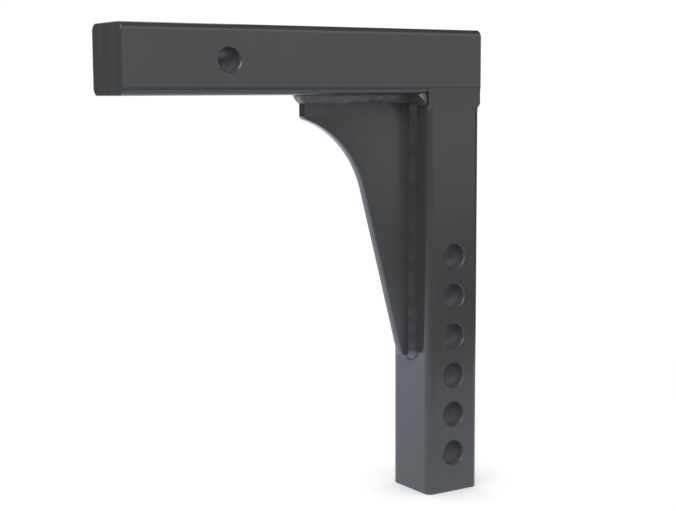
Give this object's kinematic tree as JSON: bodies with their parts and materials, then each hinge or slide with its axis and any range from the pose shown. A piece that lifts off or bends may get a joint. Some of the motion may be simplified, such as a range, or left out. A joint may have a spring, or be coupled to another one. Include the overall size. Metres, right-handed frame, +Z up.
{
  "type": "adjustable drop hitch shank",
  "caption": "Painted steel drop shank for a trailer hitch: a square bar for a receiver, a hanging bar with a row of bolt holes for a ball mount head, and a welded gusset in the corner",
  "frame": {"origin": "centre of the receiver pin hole, in the middle of the shank bar", "axes": "+X along the shank from its free end towards the drop bar, +Y along the cross holes, +Z up, away from the drop bar's foot"},
  "size_m": [0.3048, 0.05, 0.3675],
  "materials": {
    "bar_paint": "semi-gloss black paint",
    "plate_paint": "semi-gloss black paint",
    "weld_paint": "semi-gloss black paint over weld beads"
  },
  "bodies": {
    "root": {"shank_bar": "bar_paint", "drop_bar": "bar_paint", "gusset_plate": "plate_paint", "corner_groove_weld": "weld_paint", "gusset_top_weld_front": "weld_paint", "gusset_top_weld_back": "weld_paint", "gusset_side_weld_front": "weld_paint", "gusset_side_weld_back": "weld_paint", "inner_corner_weld_front": "weld_paint", "inner_corner_weld_back": "weld_paint"}
  },
  "joints": []
}
